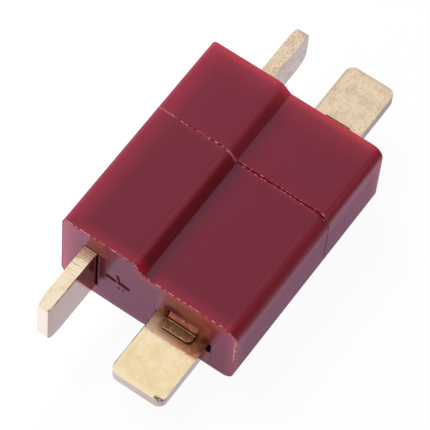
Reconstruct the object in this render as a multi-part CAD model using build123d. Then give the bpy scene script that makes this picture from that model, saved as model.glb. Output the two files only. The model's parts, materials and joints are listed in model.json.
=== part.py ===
from build123d import *
import math
import os

os.makedirs("parts", exist_ok=True)

# A mated pair of two-pole plug and socket connectors with T-placed contacts.
# +X runs from the socket half to the plug half, +Y to the tall side, +Z up.
# All sizes are in millimetres.

# Outer body, shared by both halves
body_width = 16.0
body_height = 8.3
plug_length = 7.5
mating_gap = 0.05

# Tall side and shelf of the cross-section
ramp_foot_y = 0.5
ramp_run = 0.85
socket_shelf_drop = 0.94
plug_shelf_drop = 0.8
plug_ramp_shift = 0.08
brow_radius = 1.3
foot_radius = 0.12
tall_corner_radius = 0.5
socket_corner_cut = 0.85
plug_corner_cut = 0.62
corner_flat = 0.06
bottom_corner_radius = 1.0
underside_lift = 0.2
underside_run = 1.0
far_edge_radius = 0.12
rim_break = 0.07

# Contact stock
stock = 1.2
socket_tab_width = 4.8
plug_flat_width = 4.3
plug_upright_width = 3.7
socket_tab_out = 6.1
plug_tab_out = 6.25
tab_corner_radius = 0.7
coin_length = 1.3
coin_depth = 0.1
cut_past = 1.0

# Socket cavities
end_wall = 2.0
blade_end_clear = 0.45
channel_clear = 0.05
wall_slot_near = 0.12
wall_slot_far = 0.24
wall_slot_edge = 0.02
barb_length = 0.9
barb_height = 0.6
barb_inset = 1.1
barb_root = 0.05
barb_gap = 0.01
mouth_lead = 0.3
bar_setback = 0.2

# Contact positions, the side walls measured from the outside of the body
flat_tab_top_z = 3.5
flat_side_wall = 2.36
upright_side_wall = 2.08
upright_tab_centre_z = 3.85
plug_flat_side_wall = 2.7
plug_upright_centre_z = 4.36

# Leaf springs between socket contact and plug blade
contact_gap = 0.64
leaf_thickness = 0.2
leaf_width = 2.6
leaf_slot_height = 1.3
leaf_slot_clear = 0.06
leaf_slot_side = 0.06
leaf_tail = 0.95
leaf_high = 1.05
leaf_bend = 0.3
leaf_tight_bend = 0.18
leaf_rise_out = 0.08
leaf_rise_run = 0.45
leaf_top_run = 0.5
leaf_fall_run = 0.8
leaf_crest_clear = 0.02
leaf_bow_radius = 14.0
leaf_toe_run = 0.45
leaf_toe_lift = 0.12
leaf_end_clear = 1.12
upright_leaf_gap = 0.26
upright_leaf_inset = 0.5
leaf_tail_corner = 0.5

# Plug blades
blade_reach = 9.8
blade_tip_chamfer = 0.3
window_length = 3.4
window_width = 2.35
window_out = 1.25
window_corner = 0.2

# Contact places that follow from the body width
half_width = body_width / 2
flat_tab_centre_y = -half_width + flat_side_wall + socket_tab_width / 2
upright_tab_inner_y = half_width - upright_side_wall - stock
plug_flat_centre_y = -half_width + plug_flat_side_wall + plug_flat_width / 2

# Placement: the whole pair is centred on X and stands on Z = 0
socket_length = end_wall + blade_end_clear + blade_reach
near_x = -(socket_length + plug_length) / 2 + (socket_tab_out - plug_tab_out) / 2
mate_x = near_x + socket_length
far_x = mate_x + plug_length
socket_shelf_z = body_height - socket_shelf_drop
plug_shelf_z = body_height - plug_shelf_drop
cavity_x = near_x + end_wall
blade_end_x = mate_x - blade_reach
flat_blade_low_z = flat_tab_top_z + contact_gap
upright_blade_outer_y = upright_tab_inner_y - contact_gap
leaf_foot_in = leaf_rise_run - leaf_rise_out + leaf_top_run + leaf_fall_run
leaf_bow_span = socket_length - leaf_foot_in - leaf_toe_run - leaf_end_clear


def body_profile(shelf_z, foot_y, corner_cut):
    """Closed outline of a cross-section: tall side to +Y, lower shelf to -Y."""
    brow_y = foot_y + ramp_run
    corner_side = corner_cut * math.sqrt(2)
    corner_soft = (corner_side - corner_flat) / 2 / math.tan(math.pi / 8)
    with BuildSketch() as sk:
        with BuildLine():
            Polyline(
                (-half_width, underside_lift),
                (foot_y - underside_run, underside_lift),
                (foot_y, 0),
                (half_width, 0),
                (half_width, body_height),
                (brow_y, body_height),
                (foot_y, shelf_z),
                (-half_width + corner_cut, shelf_z),
                (-half_width, shelf_z - corner_cut),
                close=True,
            )
        make_face()
        corners = [
            ((-half_width, underside_lift), bottom_corner_radius),
            ((half_width, 0), bottom_corner_radius),
            ((half_width, body_height), tall_corner_radius),
            ((brow_y, body_height), brow_radius),
            ((foot_y, shelf_z), foot_radius),
            ((-half_width + corner_cut, shelf_z), corner_soft),
            ((-half_width, shelf_z - corner_cut), corner_soft),
        ]
        for (y, z), radius in corners:
            spot = Vector(y, z, 0)
            found = sk.vertices().sort_by(lambda v: (Vector(v.X, v.Y, v.Z) - spot).length)
            fillet(found[0], radius)
    return sk.sketch


def box_between(x0, x1, y0, y1, z0, z1):
    """Box from its two limits along each axis."""
    block = Box(x1 - x0, y1 - y0, z1 - z0, align=(Align.MIN, Align.MIN, Align.MIN))
    return Pos(x0, y0, z0) * block


def lead_in(x_face, y0, y1, z0, z1, grow):
    """Tapered mouth around a slot that opens toward +X at x_face."""
    plane_out = Plane(origin=(x_face, 0, 0), x_dir=(0, 1, 0), z_dir=(1, 0, 0))
    plane_in = Plane(origin=(x_face - grow, 0, 0), x_dir=(0, 1, 0), z_dir=(1, 0, 0))
    centre_y = (y0 + y1) / 2
    centre_z = (z0 + z1) / 2
    outer = plane_out * Pos(centre_y, centre_z) * Rectangle(y1 - y0 + 2 * grow, z1 - z0 + 2 * grow)
    inner = plane_in * Pos(centre_y, centre_z) * Rectangle(y1 - y0, z1 - z0)
    return loft([inner.face(), outer.face()])


def outer_rim(solid, x_plane):
    """Edges of the outer outline that lie in the plane x = x_plane."""
    face = solid.faces().filter_by(Axis.X).sort_by(lambda f: abs(f.center().X - x_plane))[0]
    return face.outer_wire().edges()


def make_socket_housing():
    """Longer half: two stepped cavities open toward the plug, closed by a slotted end wall."""
    section = body_profile(socket_shelf_z, ramp_foot_y, socket_corner_cut)
    body = extrude(Plane.YZ.offset(near_x) * section, socket_length)
    body = chamfer(outer_rim(body, near_x), rim_break)
    body = chamfer(outer_rim(body, mate_x), rim_break)

    # Flat pole: contact channel, then the blade and spring space above it
    half_tab = socket_tab_width / 2
    c = channel_clear
    y_mid = flat_tab_centre_y
    z_low = flat_tab_top_z - stock
    bar_half = half_tab + c
    past_mouth = mate_x + cut_past
    body -= box_between(cavity_x, past_mouth, y_mid - bar_half, y_mid + bar_half, z_low - c, flat_tab_top_z)
    blade_y0 = plug_flat_centre_y - plug_flat_width / 2 - c
    blade_y1 = plug_flat_centre_y + plug_flat_width / 2 + c
    blade_z1 = flat_blade_low_z + stock + c
    body -= box_between(cavity_x, past_mouth, blade_y0, blade_y1, flat_tab_top_z - c, blade_z1)
    body -= lead_in(mate_x, blade_y0, blade_y1, flat_blade_low_z - c, blade_z1, mouth_lead)
    slot_y0 = y_mid - half_tab - wall_slot_far
    slot_y1 = y_mid + half_tab + wall_slot_near
    body -= box_between(near_x - cut_past, cavity_x + c, slot_y0, slot_y1, z_low - c, flat_tab_top_z)
    leaf_half = leaf_width / 2 + leaf_slot_clear
    leaf_top = flat_tab_top_z + leaf_slot_height
    leaf_y0 = y_mid - leaf_half
    leaf_y1 = y_mid + leaf_half + leaf_slot_side
    body -= box_between(near_x - cut_past, past_mouth, leaf_y0, leaf_y1, flat_tab_top_z, leaf_top)

    # Upright pole: the same arrangement turned by a quarter
    z_mid = upright_tab_centre_z
    y_in = upright_tab_inner_y
    y_out = upright_tab_inner_y + stock
    body -= box_between(cavity_x, past_mouth, y_in, y_out + c, z_mid - bar_half, z_mid + bar_half)
    blade_z0 = plug_upright_centre_z - plug_upright_width / 2 - c
    blade_z2 = plug_upright_centre_z + plug_upright_width / 2 + c
    blade_y2 = upright_blade_outer_y - stock - c
    body -= box_between(cavity_x, past_mouth, blade_y2, y_in + c, blade_z0, blade_z2)
    body -= lead_in(mate_x, blade_y2, upright_blade_outer_y + c, blade_z0, blade_z2, mouth_lead)
    slot_y0 = y_in - upright_leaf_gap
    slot_y1 = y_out + wall_slot_near
    slot_half = half_tab + wall_slot_edge
    slot_z0 = z_mid - slot_half
    slot_z1 = z_mid + slot_half
    body -= box_between(near_x - cut_past, cavity_x + c, slot_y0, slot_y1, slot_z0, slot_z1)
    barb_x = near_x + barb_inset - barb_length / 2 - channel_clear
    barb_half = half_tab + wall_slot_near
    body -= box_between(barb_x, cavity_x + c, y_in, y_out, z_mid - barb_half, z_mid + barb_half)
    return body


def make_plug_housing(flat_blade, upright_blade):
    """Shorter half, moulded around its two blades."""
    start = mate_x + mating_gap
    section = body_profile(plug_shelf_z, ramp_foot_y + plug_ramp_shift, plug_corner_cut)
    body = extrude(Plane.YZ.offset(start) * section, far_x - start)
    body = fillet(outer_rim(body, far_x), far_edge_radius)
    body = chamfer(outer_rim(body, start), rim_break)
    body -= flat_blade
    body -= upright_blade
    return body


def coined_bar(x0, x1, width, coin_low, coin_high):
    """Bar lying flat, centred on Y, top at Z = 0, with rounded and lightly coined ends."""
    length = x1 - x0
    plan = Pos((x0 + x1) / 2, 0) * Rectangle(length, width)
    bar = Pos(0, 0, -stock) * extrude(plan, stock)
    ends = []
    if coin_low:
        ends.append((x0, 1))
    if coin_high:
        ends.append((x1, -1))
    for x_end, way in ends:
        posts = [e for e in bar.edges().filter_by(Axis.Z) if abs(e.center().X - x_end) < 1e-6]
        bar = fillet(posts, tab_corner_radius)
        for top in (True, False):
            z_face = 0 if top else -stock
            z_cut = z_face - coin_depth if top else z_face + coin_depth
            z_over = z_face + cut_past if top else z_face - cut_past
            slope = (z_cut - z_face) / coin_length
            wedge = make_face(
                Polyline(
                    (x_end + way * coin_length, 0, z_face),
                    (x_end - way * cut_past, 0, z_cut + slope * cut_past),
                    (x_end - way * cut_past, 0, z_over),
                    (x_end + way * coin_length, 0, z_over),
                    close=True,
                )
            )
            bar -= extrude(wedge, width, both=True)
    return bar


def make_socket_bar():
    """Socket contact lying flat: solder tab outside, bar in the cavity, a barb on each edge."""
    x_mouth = mate_x - mouth_lead - bar_setback
    bar = coined_bar(near_x - socket_tab_out, x_mouth, socket_tab_width, True, False)
    mouth = [e for e in bar.edges().filter_by(Axis.Y) if abs(e.center().X - x_mouth) < 1e-6]
    bar = chamfer(mouth, bar_setback)
    half = socket_tab_width / 2
    tooth_x = near_x + barb_inset
    tooth_z = -(stock + barb_height) / 2
    for side in (1, -1):
        tooth = make_face(
            Polyline(
                (tooth_x - barb_length / 2, side * (half - barb_root), tooth_z),
                (tooth_x + barb_length / 2, side * (half + wall_slot_near - barb_gap), tooth_z),
                (tooth_x + barb_length / 2, side * (half - barb_root), tooth_z),
                close=True,
            )
        )
        bar += extrude(tooth, barb_height, dir=(0, 0, 1))
    return bar


def upright_from_flat(shape, inner_y, centre_z):
    """Turns a flat-lying piece so its top faces -Y, and moves it into the upright pole."""
    turned = Rot(90, 0, 0) * shape
    return Pos(0, inner_y, centre_z) * turned


def make_blade(width, low_z):
    """Plug contact lying flat with its lower face at Z = 0: blade, anchor window, solder tab."""
    x_tip = blade_end_x
    x_tab = far_x + plug_tab_out
    bar = Pos(0, 0, stock) * coined_bar(x_tip, x_tab, width, False, True)
    tip_edges = [e for e in bar.edges() if abs(e.center().X - x_tip) < 1e-6]
    bar = chamfer(tip_edges, blade_tip_chamfer)
    cut = Pos(far_x + window_out - window_length / 2, 0) * RectangleRounded(
        window_length, window_width, window_corner
    )
    bar -= Pos(0, 0, -cut_past) * extrude(cut, stock + 2 * cut_past)
    return Pos(0, 0, low_z) * bar


def offset_arc(before, corner, after, radius, shift):
    """Tangent points and mid point of a bend, moved sideways by shift (left is positive)."""
    u = (corner - before).normalized()
    v = (after - corner).normalized()
    turn = u.X * v.Y - u.Y * v.X
    side = 1 if turn > 0 else -1
    angle = math.acos(max(-1.0, min(1.0, u.dot(v))))
    reach = radius * math.tan(angle / 2)
    n_u = Vector(-u.Y, u.X)
    n_v = Vector(-v.Y, v.X)
    start = corner - u * reach
    end = corner + v * reach
    centre = start + n_u * (radius * side)
    middle = centre + (corner - centre).normalized() * (radius - side * shift)
    return start + n_u * shift, middle, end + n_v * shift


def bent_side(points, radii, shift):
    """One side of a bent strip as joined lines and arcs in the sketch plane."""
    first = points[0]
    second = points[1]
    u = (second - first).normalized()
    cursor = first + Vector(-u.Y, u.X) * shift
    pieces = []
    for i in range(1, len(points) - 1):
        a, m, b = offset_arc(points[i - 1], points[i], points[i + 1], radii[i - 1], shift)
        pieces.append(Line((cursor.X, cursor.Y), (a.X, a.Y)))
        pieces.append(ThreePointArc((a.X, a.Y), (m.X, m.Y), (b.X, b.Y)))
        cursor = b
    w = (points[-1] - points[-2]).normalized()
    last = points[-1] + Vector(-w.Y, w.X) * shift
    pieces.append(Line((cursor.X, cursor.Y), (last.X, last.Y)))
    start = first + Vector(-u.Y, u.X) * shift
    return pieces, start, last


def make_leaf(x_tail, hooked):
    """Bowed leaf spring on a contact whose top is Z = 0, centred on Y, hooked behind the wall or plain."""
    half = leaf_thickness / 2
    crest = contact_gap - leaf_crest_clear - half
    x_rise = near_x - leaf_rise_out
    x_top = x_rise + leaf_rise_run
    x_fall = x_top + leaf_top_run
    x_foot = x_fall + leaf_fall_run
    x_bow = x_foot + leaf_bow_span / 2
    x_toe = x_foot + leaf_bow_span
    slope = (crest - half) / (leaf_bow_span / 2)
    bow_angle = math.atan(slope)
    extra = leaf_bow_radius * (1 / math.cos(bow_angle) - 1)
    hook = [
        Vector(x_rise, half),
        Vector(x_top, leaf_high - half),
        Vector(x_fall, leaf_high - half),
    ]
    bow = [
        Vector(x_foot, half),
        Vector(x_bow, crest + extra),
        Vector(x_toe, half),
        Vector(x_toe + leaf_toe_run, half + leaf_toe_lift),
    ]
    points = [Vector(x_tail, half)] + (hook if hooked else []) + bow
    hook_radii = [leaf_tight_bend, leaf_tight_bend, leaf_bend]
    radii = (hook_radii if hooked else []) + [leaf_bend, leaf_bow_radius, leaf_bend]
    with BuildSketch(Plane.XZ) as sk:
        with BuildLine():
            upper, upper_start, upper_end = bent_side(points, radii, half)
            lower, lower_start, lower_end = bent_side(points, radii, -half)
            Line((upper_start.X, upper_start.Y), (lower_start.X, lower_start.Y))
            Line((upper_end.X, upper_end.Y), (lower_end.X, lower_end.Y))
        make_face()
    strip = extrude(sk.sketch, leaf_width / 2, both=True)
    posts = [e for e in strip.edges().filter_by(Axis.Z) if abs(e.center().X - x_tail) < 1e-6]
    post = sorted(posts, key=lambda e: e.center().Y)[0]
    return fillet(post, leaf_tail_corner)


socket_bar = make_socket_bar()
socket_flat_terminal = Pos(0, flat_tab_centre_y, flat_tab_top_z) * socket_bar
socket_upright_terminal = upright_from_flat(socket_bar, upright_tab_inner_y, upright_tab_centre_z)

hooked_leaf = make_leaf(near_x - leaf_tail, True)
plain_leaf = make_leaf(near_x + upright_leaf_inset, False)
flat_leaf_spring = Pos(0, flat_tab_centre_y, flat_tab_top_z) * hooked_leaf
upright_leaf_spring = upright_from_flat(plain_leaf, upright_tab_inner_y, upright_tab_centre_z)

flat_bar = make_blade(plug_flat_width, flat_blade_low_z)
plug_flat_blade = Pos(0, plug_flat_centre_y, 0) * flat_bar
upright_bar = make_blade(plug_upright_width, 0)
plug_upright_blade = upright_from_flat(upright_bar, upright_blade_outer_y, plug_upright_centre_z)

socket_housing = make_socket_housing()
plug_housing = make_plug_housing(plug_flat_blade, plug_upright_blade)

nodes = {
    "socket_housing": socket_housing,
    "socket_flat_terminal": socket_flat_terminal,
    "socket_upright_terminal": socket_upright_terminal,
    "flat_leaf_spring": flat_leaf_spring,
    "upright_leaf_spring": upright_leaf_spring,
    "plug_housing": plug_housing,
    "plug_flat_blade": plug_flat_blade,
    "plug_upright_blade": plug_upright_blade,
}

for name, shape in nodes.items():
    solid = shape.solids()
    assert len(solid) == 1, f"{name} has {len(solid)} solids"
    export_step(solid[0], f"parts/{name}.step")
    box = solid[0].bounding_box()
    print(name, round(solid[0].volume, 3), box.min, box.max)
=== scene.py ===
import json
import math
import random

import bmesh
import bpy
from mathutils import Matrix, Vector

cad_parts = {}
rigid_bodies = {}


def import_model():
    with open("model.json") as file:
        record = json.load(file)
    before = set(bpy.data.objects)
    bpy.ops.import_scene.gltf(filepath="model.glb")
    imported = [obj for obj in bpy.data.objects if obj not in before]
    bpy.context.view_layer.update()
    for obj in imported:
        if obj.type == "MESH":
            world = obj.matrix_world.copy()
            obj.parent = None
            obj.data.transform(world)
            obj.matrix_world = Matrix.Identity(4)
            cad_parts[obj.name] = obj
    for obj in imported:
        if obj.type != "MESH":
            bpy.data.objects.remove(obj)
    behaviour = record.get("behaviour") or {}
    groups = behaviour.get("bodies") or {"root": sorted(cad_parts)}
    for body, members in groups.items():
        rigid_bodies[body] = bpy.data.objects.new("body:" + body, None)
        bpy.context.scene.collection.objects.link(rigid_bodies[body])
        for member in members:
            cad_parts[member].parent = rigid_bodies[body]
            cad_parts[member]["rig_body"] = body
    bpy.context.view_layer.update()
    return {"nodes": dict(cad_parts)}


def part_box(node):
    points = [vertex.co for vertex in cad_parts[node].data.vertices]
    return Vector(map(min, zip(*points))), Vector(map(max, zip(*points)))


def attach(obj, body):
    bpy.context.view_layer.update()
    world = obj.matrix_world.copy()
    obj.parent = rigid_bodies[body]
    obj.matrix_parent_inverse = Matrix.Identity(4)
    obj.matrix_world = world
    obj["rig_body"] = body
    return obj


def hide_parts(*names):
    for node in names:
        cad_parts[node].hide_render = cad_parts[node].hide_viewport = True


# A mated plug and socket in dark red nylon with gold-plated contacts and solder tabs, in millimetres.
# The socket is the near half, at low x. Both halves have a shelf at low y and a tall side at high y.
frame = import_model()

MM = 0.001

# Main sizes, read from the frame
barb_reach = 0.11
socket_low, socket_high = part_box("socket_housing")
plug_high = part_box("plug_housing")[1]
near_x = socket_low.x / MM
mate_x = socket_high.x / MM
far_x = plug_high.x / MM
side_y = socket_high.y / MM
top_z = socket_high.z / MM

flat_tab_low, flat_tab_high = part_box("socket_flat_terminal")
flat_y0 = flat_tab_low.y / MM + barb_reach
flat_y1 = flat_tab_high.y / MM - barb_reach
flat_top_z = flat_tab_high.z / MM

upright_tab_low, upright_tab_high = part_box("socket_upright_terminal")
upright_y0 = upright_tab_low.y / MM
upright_y1 = upright_tab_high.y / MM
upright_low_z = upright_tab_low.z / MM + barb_reach
upright_top_z = upright_tab_high.z / MM - barb_reach

leaf_low, leaf_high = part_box("flat_leaf_spring")
leaf_tip_x = leaf_low.x / MM
leaf_y0 = leaf_low.y / MM
leaf_y1 = leaf_high.y / MM
leaf_top_z = leaf_high.z / MM

far_flat_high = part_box("plug_flat_blade")[1]
far_tip_x = far_flat_high.x / MM
far_edge_y = far_flat_high.y / MM

# Places on the housings' cross-section that the boxes don't give
ramp_foot_y = 0.5
ramp_brow_y = 0.9
corner_y = -6.5
corner_z = 6.2
shelf_z = 7.36

# Fine breaks along the edges, and the angles that a mesh is cleaned by
tab_break = 0.06
leaf_break = 0.03
housing_break = 0.03
far_tab_break = 0.1
break_segments = 2
break_degrees = 32
sharp_degrees = 30
flat_degrees_before = 0.5
flat_degrees_after = 0.1
weld = 0.0005
cutter_over = 0.1

# Plus mark and ejector nicks: strokes from one (y, z) to another with a width,
# and the soft borders of the place that holds them
mark_depth = 0.05
mark_strokes = [
    ((3.70, 4.04), (3.06, 3.98), 0.46),
    ((2.80, 4.88), (2.67, 4.42), 0.30),
    ((2.56, 4.02), (1.84, 3.92), 0.48),
    ((2.63, 3.24), (2.62, 3.14), 0.18),
    ((2.26, 3.24), (2.16, 3.20), 0.18),
]
mark_y = ((1.5, 1.6), (4.1, 4.0))
mark_z = ((2.8, 2.9), (5.3, 5.2))

# Tool grooves on the upright tab, and faint ridges on the near end, painted as lighter stripes of highlight
rib_start = 0.1
rib_reach = 1.7
rib_count = 8
rib_depth = 0.06
rib_fade = 0.5
rib_half_most = 0.065
rib_lean = 0.015
rib_stray = 0.1
ridge_pitch = 0.26

# Tail of the flat pole's spring: its crease and its corners
crease_out = 0.07
tail_corner = 0.3

# Burr over the spring
burr_z = 4.80
burr_radius = 0.1
burr_end_share = 0.3
burr_sag = 0.012
burr_over = 0.05
burr_short = 0.22

# Lip beside the upright tab
lip_foot = 0.30
lip_reach = 0.19
lip_least = 0.04
lip_thickness = 0.06
lip_edge = 0.02
lip_stand = 0.005

# Flash at the parting line and on the near end's rim
seam_depth = 0.03
flash_step = 0.07
flash_root = 0.03
flash_crest_share = 0.4
seam_floor_width = 0.10
tall_flash_width = 0.09
seam_flash_width = 0.07
plug_flash_width = 0.06
corner_flash = 0.05
end_flash_width = 0.07
worn_edge_width = 0.14
worn_edge_height = 0.03
worn_edge_z = 3.5
bead_height = 0.03
bead_share = 0.35
speck_half = 0.07
speck_height = 0.05
end_specks = (-5.2, -6.05, -6.4, -6.6)

# Camera: the photograph's view, found from its straight edges, with angles in degrees
camera_focal_px = 3090.76
photo_px = 430
camera_sensor = 36.0
camera_azimuth = 209.42
camera_elevation = 60.63
camera_roll = 6.23
camera_distance = 236.77
camera_shift_right = 0.86
camera_shift_up = 0.79
camera_target = Vector((10.4 + near_x, 0.0, 4.0))
camera_nearest = 10
camera_farthest = 2000

# Light
lamp_way = (0.25, 0.6, 0.76)
lamp_distance = 300
lamp_height = 4
lamp_size = 180
lamp_watts = 1.1
sky_light = 0.45
sky_way = (-0.1, 0.85, 0.5)
sky_span = (-0.6, 0.5)
sky_mirrored = (0.12, 1.15)
floor_reach = 600
floor_sunk = 0.02
floor_glow = 0.95
# Painted shade and light in the floor's reflection on the part: darker towards low y, brighter towards high
# y
mirror_edge_y = (-9.5, -7.0)
mirror_edge = (0.67, 1.0)
mirror_rise_y = (-7.5, 8.0)
mirror_rise = (0.72, 1.2)

# The nylon: linear colours and finish
nylon_colour = (0.1305, 0.0112, 0.0248, 1)
nylon_plug = (0.1455, 0.0122, 0.0275, 1)
# Painted shading of the ramp, with a painted glow on it near the near and far ends
nylon_ramp_shading = (0.180, 0.0065, 0.0155, 1)
nylon_plug_ramp_shading = (0.205, 0.0115, 0.0235, 1)
nylon_ramp_near_glow = (0.62, 0.011, 0.027, 1)
nylon_ramp_far_glow = (0.75, 0.06, 0.09, 1)
# Painted glow that makes the edges and the far end redder and lighter
nylon_edge_glow = (0.27, 0.022, 0.045, 1)
nylon_far_glow = (0.40, 0.040, 0.058, 1)
# Painted highlight on the brow over the ramp and the corner's shoulder
nylon_shoulder_highlight = (0.185, 0.0185, 0.035, 1)
# Painted shade along the foot of the ramp
nylon_foot_shade = (0.082, 0.0122, 0.028, 1)
# Painted shading of the shelf's rounded corner, with a painted glow near the far end
nylon_corner_shading = (0.255, 0.0125, 0.033, 1)
nylon_plug_corner_shading = (0.31, 0.024, 0.047, 1)
nylon_deep = (0.27, 0.008, 0.018, 1)
nylon_glow = (0.36, 0.014, 0.024, 1)
# Painted light on the walls by the way they face, and a painted pale sheen
nylon_wall_light = (0.295, 0.023, 0.044, 1)
nylon_lit_wall = (0.20, 0.012, 0.032, 1)
nylon_pale_sheen = (0.90, 0.60, 0.65, 1)
# Painted highlights along the rims and edges, and a painted red glow
nylon_rim_highlight = (0.50, 0.07, 0.11, 1)
nylon_red_rim_glow = (0.66, 0.05, 0.05, 1)
nylon_lit_edge = (0.84, 0.18, 0.18, 1)
# Painted reflection of the gold tabs in the near end
nylon_tab_reflection = (0.42, 0.14, 0.05, 1)
# Painted shade in the engraved mark
nylon_mark_shade = (0.22, 0.004, 0.008, 1)
nylon_shade = (0.10, 0.004, 0.006, 1)
# Painted highlight on the near end's low-y upright edge
nylon_edge_highlight = (1.0, 0.42, 0.46, 1)
nylon_flash = (0.85, 0.32, 0.38, 1)
# Painted glow, bright red, for the seam in its shaded groove
nylon_seam_glow = (0.62, 0.004, 0.010, 1)
nylon_seam_edge = (0.24, 0.010, 0.022, 1)
# Painted wall light for the seam on the low side
nylon_seam_low_wall_light = (0.46, 0.11, 0.15, 1)
nylon_lip = (0.20, 0.02, 0.02, 1)
nylon_burr = (0.42, 0.05, 0.12, 1)
nylon_burr_pale = (0.62, 0.14, 0.23, 1)
nylon_specular = 0.26
nylon_roughness = (0.30, 0.36)
end_roughness_less = 0.14
dark_roughness = 0.9
nylon_grain = 0.004

# The metal: linear colours and finish
gold_colour = (0.95, 0.74, 0.44, 1)
# Painted highlight on the upright tab's top
gold_cream_highlight = (1.0, 0.82, 0.62, 1)
gold_pale = (1.0, 0.86, 0.62, 1)
gold_deep = (0.80, 0.60, 0.33, 1)
# Painted reflection of the housing in the tabs, and painted shade
gold_root_reflection = (0.86, 0.455, 0.25, 1)
gold_dark = (0.48, 0.15, 0.06, 1)
gold_brown = (0.36, 0.20, 0.09, 1)
gold_line = (0.15, 0.055, 0.022, 1)
gold_shadow = (0.08, 0.015, 0.008, 1)
# Painted reflections on the tabs' sides and tips
gold_flat_side_reflection = (0.587, 0.50, 0.32, 1)
gold_upright_side_reflection = (0.385, 0.295, 0.132, 1)
gold_flat_tip_reflection = (0.717, 0.614, 0.376, 1)
gold_upright_tip_reflection = (0.913, 0.818, 0.496, 1)
nick_grey = (0.10, 0.08, 0.06, 1)
gold_roughness = (0.08, 0.16)
gold_grain = 0.0012
film_roughness = 0.22
film_metal_less = 0.3
# Lean of the border of the painted reflection on the upright tab's low side
reflection_lean = 0.455
matte_gold_colour = (0.93, 0.75, 0.55, 1)
matte_gold_side = (0.674, 0.60, 0.384, 1)
matte_roughness = 0.42
matte_grain = 0.008
# Painted light on the far flat blade's window wall
window_gold_light = (0.95, 0.62, 0.16, 1)
spring_colour = (0.54, 0.28, 0.125, 1)
# Painted shade on the spring's rising wall, and a pale colour for its patches and the painted highlight of
# its front edge
spring_wall_shade = (0.37, 0.13, 0.07, 1)
spring_pale_and_highlight = (0.85, 0.62, 0.32, 1)
spring_roughness = 0.4

# The surroundings: linear colours
sky_colour = (0.8, 0.8, 0.8, 1)
floor_colour = (0.85, 0.85, 0.87, 1)
floor_white = (1.0, 1.0, 1.0, 1)
# Bluish tint of the floor's painted reflection on the part
floor_mirrored = (0.92, 0.88, 1.25, 1)


class Graph:
    """A node tree, with short calls for the maths that it needs."""

    def __init__(self, tree):
        self.tree = tree
        tree.nodes.clear()

    def node(self, kind, **settings):
        """A new node of one kind, with its settings."""
        node = self.tree.nodes.new("ShaderNode" + kind)
        for key, value in settings.items():
            setattr(node, key, value)
        return node

    def link(self, source, target):
        self.tree.links.new(source, target)

    def put(self, socket, value):
        """Links a socket's value, or sets it as a plain number or colour."""
        if isinstance(value, bpy.types.NodeSocket):
            self.link(value, socket)
        else:
            socket.default_value = value

    def vector(self, operation, a, b):
        node = self.node("VectorMath", operation=operation)
        self.put(node.inputs[0], a)
        self.put(node.inputs["Scale" if operation == "SCALE" else 1], b)
        return node.outputs["Value" if operation == "DOT_PRODUCT" else "Vector"]

    def split(self, vector):
        node = self.node("SeparateXYZ")
        self.link(vector, node.inputs[0])
        return node.outputs

    def math(self, operation, a, b=0.0):
        node = self.node("Math", operation=operation)
        self.put(node.inputs[0], a)
        self.put(node.inputs[1], b)
        return node.outputs[0]

    def plus(self, a, b):
        return self.math("ADD", a, b)

    def distance(self, value, place):
        """How far a value is from a place, on either side."""
        return self.math("ABSOLUTE", self.plus(value, -place))

    def times(self, *values):
        result = values[0]
        for value in values[1:]:
            result = self.math("MULTIPLY", result, value)
        return result

    def most(self, *values):
        result = values[0]
        for value in values[1:]:
            result = self.math("MAXIMUM", result, value)
        return result

    def step(self, value, low, high, start=0.0, end=1.0, kind="SMOOTHSTEP"):
        """Change from start to end while value goes from low to high."""
        node = self.node("MapRange", interpolation_type=kind)
        flip = low > high
        self.put(node.inputs["Value"], value)
        node.inputs["From Min"].default_value = high if flip else low
        node.inputs["From Max"].default_value = low if flip else high
        node.inputs["To Min"].default_value = end if flip else start
        node.inputs["To Max"].default_value = start if flip else end
        return node.outputs["Result"]

    def inside(self, value, border, other_border):
        """1 between two soft borders, each given from its outer end to its inner one, and 0 outside them."""
        return self.times(self.step(value, *border), self.step(value, *other_border))

    def mix(self, amount, a, b):
        node = self.node("Mix", data_type="RGBA")
        self.put(node.inputs["Factor"], amount)
        self.put(node.inputs[6], a)
        self.put(node.inputs[7], b)
        return node.outputs[2]

    def seen(self, path):
        """1 for what looks at the surface straight or through glass."""
        return self.most(path["Is Camera Ray"], path["Is Transmission Ray"])

    def glow(self, kind, strength, colour=sky_colour):
        """A background or an emission of a strength and colour."""
        node = self.node(kind)
        self.put(node.inputs["Strength"], strength)
        self.put(node.inputs["Color"], colour)
        return node.outputs[0]

    def blend(self, amount, first, second):
        """Goes from the first shader to the second."""
        node = self.node("MixShader")
        for socket, value in zip(node.inputs, (amount, first, second)):
            self.link(value, socket)
        return node.outputs[0]

    def show(self, kind, shader):
        """Puts a shader out as the surface."""
        self.link(shader, self.node(kind).inputs["Surface"])


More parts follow.
